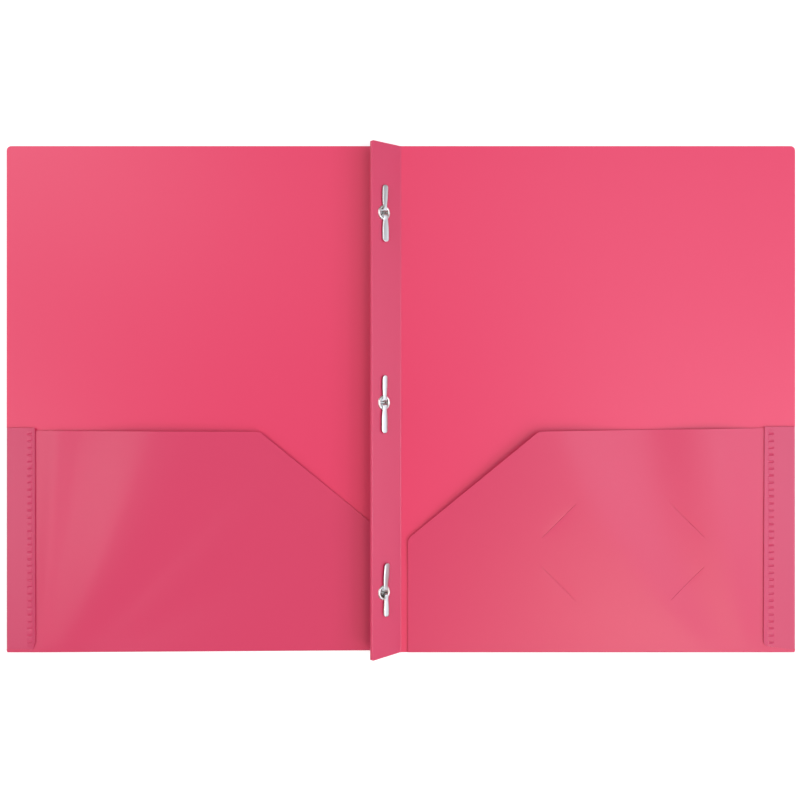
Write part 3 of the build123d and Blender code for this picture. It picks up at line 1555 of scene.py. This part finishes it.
@dataclass
class TangFastener:
    """A tinplate fastener: a head behind the fin and two strips that come out of the eyelet.

    Each strip rises as a leg, bends over the eyelet's rim and lies along the fin as a prong.

    Attributes:
        place: Its name, by its place on the spine.
        along: Its place along the spine.
        upper: The prong bent up the spine.
        lower: The prong bent down the spine.
        spine: The spine's sizes.
        up: Its place up the fin.
        strip: Thickness of the strip.
        leg: Distance of each leg from the eyelet's middle.
        height: Height of the prongs off the fin's front face, which is also the bend's radius.
        head: Radius of the head.
        head_depth: Depth of the head's upper face behind the front face.
        head_edge: Width of the head's broken edge.
        edge: Width of the strip's broken edges.
        tip: Rounding of a prong's tip as a share of its half width.
        curl: How far the prong's long edges are rolled down.
        curl_run: How far along the prong they are rolled in full.
        neck: Width of the leg as a share of the prong's width.
        neck_end: How far along the prong it begins to widen.
        neck_run: How far past that it has its full width.
        rooted: How far above the head the leg's edges stay as they were cut.
        grid_across: Spacing of the mesh across a strip.
        grid_along: Spacing of the mesh along its leg, its bend and its prong.
    """

    place: str
    along: float
    upper: Prong
    lower: Prong
    spine: Spine
    up: float
    strip: float = 0.3
    leg: float = 0.45
    height: float = 1.25
    head: float = 3.6
    head_depth: float = 1.55
    head_edge: float = 0.1
    edge: float = 0.07
    tip: float = 0.92
    curl: float = 0.22
    curl_run: float = 3.0
    neck: float = 0.76
    neck_end: float = 1.0
    neck_run: float = 7.0
    rooted: float = 0.1
    grid_across: float = 0.28
    grid_along: tuple[float, float, float] = (0.5, 0.14, 0.6)

    @property
    def bend(self) -> float:
        """Length of the strip's bend."""
        return math.pi / 2 * self.height

    def build(
        self, head: bpy.types.Object, material: bpy.types.Material
    ) -> list[bpy.types.Object]:
        """Copy the modelled head and shape both strips.

        Args:
            head: The head to copy.
            material: The plated strip.

        Returns:
            The head and both strips.
        """
        pieces = [self._head(head, material)]
        for end, prong, turn in (("upper", self.upper, 1), ("lower", self.lower, -1)):
            pieces.append(self._prong(end, prong, turn, material))
        return pieces

    @classmethod
    def head_model(cls) -> bpy.types.Object:
        """Shape one round head that legs come out of, to be copied.

        Returns:
            The head to copy.
        """
        piece = add(
            bpy.ops.mesh.primitive_cylinder_add,
            vertices=48,
            radius=cls.head,
            depth=cls.strip,
            location=(0, 0, -cls.head_depth - cls.strip / 2),
        )
        bpy.ops.object.transform_apply()
        soften(piece, cls.head_edge, lambda middle: False)
        return piece

    def _head(
        self, model: bpy.types.Object, material: bpy.types.Material
    ) -> bpy.types.Object:
        """Copy the modelled head and seat the copy behind the fin.

        Args:
            model: The head to copy.
            material: The plated strip.

        Returns:
            The finished head.
        """
        piece = twin(model, f"{self.place}_fastener_head")
        place_on(piece, self.spine.seat(self.along, self.up, 0))
        settle(piece)
        dress(piece, material)
        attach(piece, "spine")
        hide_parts(f"{self.place}_fastener_base")
        return piece

    def _prong(
        self, end: str, prong: Prong, turn: int, material: bpy.types.Material
    ) -> bpy.types.Object:
        """Shape one strip from a flat blank: its leg, its bend and its prong with a round tip.

        Args:
            end: Which prong it is, upper or lower.
            prong: How it was made and bent.
            turn: 1 if it lies up the spine, and -1 if it lies down it.
            material: The plated strip.

        Returns:
            The finished strip.
        """
        name = f"{self.place}_{end}_prong"
        half = prong.width.value / 2
        bent = self.head_depth + self.bend
        length = bent + prong.reach - self.leg - self.height
        piece = plate(f"{name}_strip", (-half, 0), (half, length), 0)
        with editing(piece):
            for side in (-half, half):
                round_corner(piece, (side, length), half * self.tip, segments=10)
            rule(piece, 0, even(-half, half, self.grid_across))
            rule(piece, 1, [self.head_depth, bent])
            for step, ends in zip(
                self.grid_along, ((0, self.head_depth), (self.head_depth, bent), (bent, length))
            ):
                rule(piece, 1, even(*ends, step))
        reshape(piece, lambda points: self._bent(points, half, turn * prong.roll))
        thicken(piece, self.strip)
        soften(piece, self.edge, lambda middle: middle.z < self.rooted - self.head_depth)
        swing = Matrix.Rotation(math.radians(-turn * prong.swing), 4, "Z")
        seat = self.spine.seat(self.along, self.up - prong.shift, 0, turn) @ swing
        place_on(piece, seat)
        settle(piece)
        dress(piece, material)
        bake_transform(piece)
        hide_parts(name)
        return piece

    def _bent(self, points: np.ndarray, half: float, roll: float) -> np.ndarray:
        """Bend a flat blank's points into the strip.

        Args:
            points: The blank's points, with its length along Y.
            half: Half the blank's width.
            roll: How far its face is twisted down towards -X, in degrees.

        Returns:
            The bent points.
        """
        beside, run = points[:, 0] / half, points[:, 1]
        past = run - self.head_depth
        lying = np.clip(past - self.bend, 0, None)
        angle = np.clip(past / self.height, 0, math.pi / 2)
        waist = self.neck + (1 - self.neck) * ease((lying - self.neck_end) / self.neck_run)
        flat = ease(lying / self.curl_run)
        points[:, 0] *= waist
        points[:, 1] = self.leg + self.height * (1 - np.cos(angle)) + lying
        points[:, 2] = np.minimum(past, 0) + self.height * np.sin(angle)
        points[:, 2] -= self.curl * flat * beside**4
        points[:, 2] += math.tan(math.radians(roll)) * flat * points[:, 0]
        return points


@dataclass(frozen=True)
class SoftBox:
    """A square studio light, in metres and watts.

    Attributes:
        name: The light's name.
        place: Where it stands.
        size: Its width and height.
        power: How much light it gives.
        colour: The light's colour.
    """

    name: str
    place: tuple[float, float, float]
    size: tuple[float, float]
    power: float
    colour: str = "#ffffff"

    def build(self) -> bpy.types.Object:
        """Add the light, aimed at the middle of the folder.

        Returns:
            The light.
        """
        box = add(bpy.ops.object.light_add, type="AREA", location=self.place)
        box.name = box.data.name = self.name
        box.data.shape = "RECTANGLE"
        box.data.size, box.data.size_y = self.size
        box.data.energy = self.power
        box.data.color = linear(self.colour)[:3]
        box.rotation_euler = (-Vector(self.place)).to_track_quat("-Z", "Y").to_euler()
        box.visible_camera = False
        return box


@dataclass
class Studio:
    """A white table, soft light and a camera straight above, in metres.

    Attributes:
        lights: The studio lights.
        ambient: Strength of the even light from all round.
        camera_place: Where the camera hangs.
        lens: Its focal length in millimetres.
        sensor: Width of its picture in millimetres.
        nearest: How close to it a piece still shows.
        floor_size: Width of the table.
        floor_drop: How far the table lies under the covers.
        floor_glow: White that the table shows the camera, beside its own light and shadow.
        floor_colour: The table's own colour.
    """

    lights: Sequence[SoftBox]
    ambient: float = 0.27
    camera_place: tuple[float, float, float] = (-0.00052, -0.00049, 0.575)
    lens: float = 44.8
    sensor: float = 36.0
    nearest: float = 0.01
    floor_size: float = 3.0
    floor_drop: float = 0.0002
    floor_glow: float = 0.45
    floor_colour: str = "#d8d8d8"

    def build(self) -> None:
        """Set up the table, the light and the camera."""
        bpy.context.scene.view_settings.view_transform = "Standard"
        self._world()
        self._floor()
        for light in self.lights:
            light.build()
        self._camera()

    def _world(self) -> None:
        """Light everything evenly from all round, and show the camera plain white."""
        world = bpy.data.worlds.new("studio_room")
        world.use_nodes = True
        world.node_tree.nodes.clear()
        path = add_node(world.node_tree, "ShaderNodeLightPath")
        level = add_node(
            world.node_tree,
            "ShaderNodeMath",
            {0: path.outputs["Is Camera Ray"], 1: self.ambient},
            operation="MAXIMUM",
        )
        room = add_node(
            world.node_tree,
            "ShaderNodeBackground",
            {"Color": (1, 1, 1, 1), "Strength": level.outputs["Value"]},
        )
        add_node(
            world.node_tree,
            "ShaderNodeOutputWorld",
            {"Surface": room.outputs["Background"]},
        )
        bpy.context.scene.world = world

    def _floor(self) -> None:
        """Lay a white table that keeps the folder's shadow."""
        place = (0, 0, -self.floor_drop)
        floor = add(bpy.ops.mesh.primitive_plane_add, size=self.floor_size, location=place)
        floor.name = "table"
        material, tree = blank_material("white_table_laminate")
        path = add_node(tree, "ShaderNodeLightPath")
        seen = path.outputs["Is Camera Ray"]
        for ray in ("Is Glossy Ray", "Is Transmission Ray"):
            either = add_node(
                tree,
                "ShaderNodeMath",
                {0: seen, 1: path.outputs[ray]},
                operation="MAXIMUM",
            )
            seen = either.outputs["Value"]
        glow = add_node(tree, "ShaderNodeMath", {0: seen, 1: self.floor_glow}, operation="MULTIPLY")
        shader = add_node(
            tree,
            "ShaderNodeBsdfPrincipled",
            {
                "Base Color": linear(self.floor_colour),
                "Roughness": 0.9,
                "Specular IOR Level": 0.0,
                "Emission Color": (1, 1, 1, 1),
                "Emission Strength": glow.outputs["Value"],
            },
        )
        add_node(
            tree, "ShaderNodeOutputMaterial", {"Surface": shader.outputs["BSDF"]}
        )
        floor.data.materials.append(material)

    def _camera(self) -> None:
        """Hang the camera over the spine, looking straight down."""
        camera = add(bpy.ops.object.camera_add, location=self.camera_place, rotation=(0, 0, 0))
        camera.name = "camera_overhead"
        camera.data.lens = self.lens
        camera.data.sensor_width = self.sensor
        camera.data.clip_start = self.nearest
        bpy.context.scene.camera = camera


@dataclass
class Folder:
    """The whole folder: its folded sheet, its eyelets and its fasteners.

    Attributes:
        sheet: The sheet's sizes.
        fasteners_along: Each fastener's place along the spine, in millimetres.
        fastener_up: Their place up the fin.
        pieces: What has been built so far.
    """

    sheet: Sheet = field(default_factory=Sheet)
    fasteners_along: dict[str, float] = field(
        default_factory=lambda: {"top": 105.95, "middle": -2.0, "bottom": -109.95}
    )
    fastener_up: float = 12.2
    pieces: list[bpy.types.Object] = field(default_factory=list)

    def build(self) -> None:
        """Build every piece of the folder in order."""
        # The two- and three-layer colours are darker copies of the one-layer colour: painted shade
        # for the table's light, which shines through one layer and less through more.
        layers = [
            CoralPolypropylene(f"coral_polypropylene_sand_rolled_{name}", colour).material()
            for name, colour in (
                ("sheet", "#dd3b62"),
                ("two_sheets_painted_shade", "#cf3a60"),
                ("three_sheets_painted_shade", "#c73c62"),
            )
        ]
        nickel = PlatedMetal(
            "nickel_plated_eyelet_brass",
            "#dedad6",
            roughness=0.36,
            line_width=0.25,
            line_depth=0.002,
        ).material()
        tin = PlatedMetal(
            "tinplate_rolled_strip",
            "#c4c1be",
            roughness=0.28,
            line_width=0.25,
            line_depth=0.004,
        ).material()
        spine = Spine(self.sheet)
        self._halves(spine, layers)
        self._spine(spine, layers)
        self._fasteners(spine, nickel, tin)

    def _add(self, *pieces: bpy.types.Object) -> None:
        """Keep finished pieces and report them.

        Args:
            *pieces: The pieces.
        """
        for piece in pieces:
            self.pieces.append(piece)
            LOG.info("%s: %d faces", piece.name, len(piece.data.polygons))

    def _halves(self, spine: Spine, layers: Sequence[bpy.types.Material]) -> None:
        """Build both covers with their pockets and flaps.

        Args:
            spine: The spine's sizes.
            layers: The sheet's materials where it lies in one, two and three layers, the last two
                darkened by painted shade.
        """
        right = Sheet(mouth=-18.5, mouth_outer=-16.4, flap_inner=208.3, flap_high=-15.85)
        left = Sheet(pocket_start=5.9, mouth=-18.7, flap_inner=209.9, askew=1.25)
        right_pocket = Pocket(
            Side.RIGHT,
            right,
            Buckle(
                places=(-140, 88, 139, 177),
                lifts=(0, 4.6, 0.5, 2.9),
                apex=0.28,
                spread=0.64,
                swell=0.0,
            ),
            cut_reach=79.0,
            cut_foot=-80.4,
            slits=CardSlits(),
        )
        left_pocket = Pocket(
            Side.LEFT,
            left,
            Buckle(
                places=(-45, 60, 140, 186, 197),
                lifts=(0, 1.8, 4.3, 1.45, 1.5),
                apex=0.21,
                spread=0.11,
                swell=0.8,
            ),
            cut_reach=81.2,
            cut_foot=-80.3,
        )
        right_flap = SideFlap(
            Side.RIGHT,
            right,
            trims=(
                ((209.3, -15.85), (208.7, -140.0)),
                ((208.7, -141.95), (225.0, -144.05)),
            ),
            corner=(208.7, -141.95),
            corner_reach=3.0,
            weld_across=213.1,
            weld_length=2.9,
        )
        left_flap = SideFlap(
            Side.LEFT,
            left,
            trims=(
                ((210.6, -16.55), (210.35, -139.3)),
                ((210.35, -139.3), (211.5, -143.4)),
            ),
            corner=(211.4, -144.05),
            corner_reach=0.5,
            weld_across=213.7,
            weld_length=2.3,
            curl=0.8,
        )
        for pocket, flap in ((right_pocket, right_flap), (left_pocket, left_flap)):
            cover = Cover(pocket.side, pocket.sheet, spine.crease_at(pocket.side))
            self._add(cover.build(layers[0]), pocket.build(layers[1]), flap.build(layers[2]))

    def _spine(self, spine: Spine, layers: Sequence[bpy.types.Material]) -> None:
        """Build the fin and the two folds at its foot.

        Args:
            spine: The spine's sizes.
            layers: The sheet's materials where it lies in one, two and three layers, the last two
                darkened by painted shade.
        """
        holes = list(self.fasteners_along.values())
        self._add(SpineFin(spine, holes, self.fastener_up).build(layers[1]))
        front, back = spine.front_axis, spine.back_axis
        front_middle = spine.front_radius + self.sheet.thickness / 2
        back_middle = spine.back_radius + self.sheet.thickness / 2
        front_fold = FoldStrip(
            "front_fold_strip",
            self.sheet,
            front,
            radius=spine.front_radius,
            start=270.0,
            sweep=-spine.lean,
            bodies=("right_half", "spine"),
        )
        front_end = front - Vector((spine.front.x * front_middle, 0, 0))
        back_fold = FoldStrip(
            "back_fold_strip",
            self.sheet,
            back,
            radius=spine.back_radius,
            start=90.0 - spine.lean,
            sweep=spine.lean - 180.0,
            bodies=("spine", "left_half"),
        )
        back_start = back + Vector((0, 0, spine.front.z * back_middle))
        back_end = back - Vector((0, 0, back_middle))
        # The front fold is one sheet, but it takes the darker two-layer colour as painted shade, so
        # the fin's tone runs on into its fold.
        self._add(
            front_fold.build(layers[1], (front, front_end)),
            back_fold.build(layers[0], (back_start, back_end)),
        )

    def _fasteners(
        self, spine: Spine, nickel: bpy.types.Material, tin: bpy.types.Material
    ) -> None:
        """Build the three eyelets and the fasteners through them.

        Args:
            spine: The spine's sizes.
            nickel: The eyelets' metal.
            tin: The fasteners' metal.
        """
        narrow, wide = ProngWidth.NARROW, ProngWidth.WIDE
        prongs = {
            "top": (
                Prong(narrow, reach=15.8, swing=2.0, shift=-0.2, roll=8.0),
                Prong(wide, reach=16.4, swing=0.5, shift=0.4, roll=8.0),
            ),
            "middle": (
                Prong(narrow, reach=15.5, swing=1.2, shift=-0.2),
                Prong(wide, reach=17.3, shift=-0.2),
            ),
            "bottom": (
                Prong(wide, reach=16.6, swing=5.7, shift=0.2, roll=-5.0),
                Prong(narrow, reach=13.7, shift=1.0, roll=5.0),
            ),
        }
        eyelet = Eyelet(spine.thickness)
        ring, head = eyelet.model(), TangFastener.head_model()
        for place, along in self.fasteners_along.items():
            seat = spine.seat(along, self.fastener_up, 0)
            fastener = TangFastener(place, along, *prongs[place], spine, self.fastener_up)
            self._add(eyelet.build(ring, place, seat, nickel), *fastener.build(head, tin))
        for model in (ring, head):
            bpy.data.objects.remove(model)


def main() -> None:
    """Build the folder and its studio."""
    logging.basicConfig(level=logging.INFO, format="%(name)s %(message)s")
    Folder().build()
    Studio(
        lights=(
            SoftBox("left_wall", (-1.7, 0.2, 0.8), (1.4, 0.8), 4.0),
            SoftBox("left_far", (-1.35, 0.2, 1.6), (1.1, 0.35), 4.6),
            SoftBox("left_back", (-0.75, 0.6, 1.6), (0.4, 0.75), 2.7),
            SoftBox("left_low", (-0.87, -0.28, 1.6), (0.6, 0.35), 2.4),
            SoftBox("left_key", (-0.9, 0.9, 1.0), (0.5, 0.4), 3.2),
            SoftBox("middle_back", (0.0, 0.4, 1.6), (0.8, 0.5), 0.7),
            SoftBox("right_back", (0.6, 0.45, 1.6), (0.75, 0.7), 2.5, "#f0f4ff"),
            SoftBox("right_mid", (0.62, -0.1, 1.6), (0.4, 0.6), 2.0, "#f0f4ff"),
            SoftBox("right_rim", (1.5, 0.35, 1.6), (0.8, 0.35), 3.5, "#f0f4ff"),
            SoftBox("right_low", (1.05, -0.22, 1.6), (0.5, 0.3), 1.8, "#f0f4ff"),
            SoftBox("right_front", (0.55, -0.75, 1.6), (0.5, 0.5), 3.5, "#fffaf4"),
            SoftBox("right_key", (1.35, -0.2, 0.9), (0.5, 0.3), 4.6, "#eaf4ff"),
            SoftBox("right_wall", (1.9, 0.0, 0.5), (1.2, 0.6), 5.0, "#e2f0ff"),
            SoftBox("front_key", (0.85, -0.92, 0.92), (0.3, 0.3), 4.2, "#eaf4ff"),
            SoftBox("warm_lamp", (0.25, -0.5, 1.05), (0.42, 0.34), 1.0, "#ffc080"),
        )
    ).build()


if __name__ == "__main__":
    main()
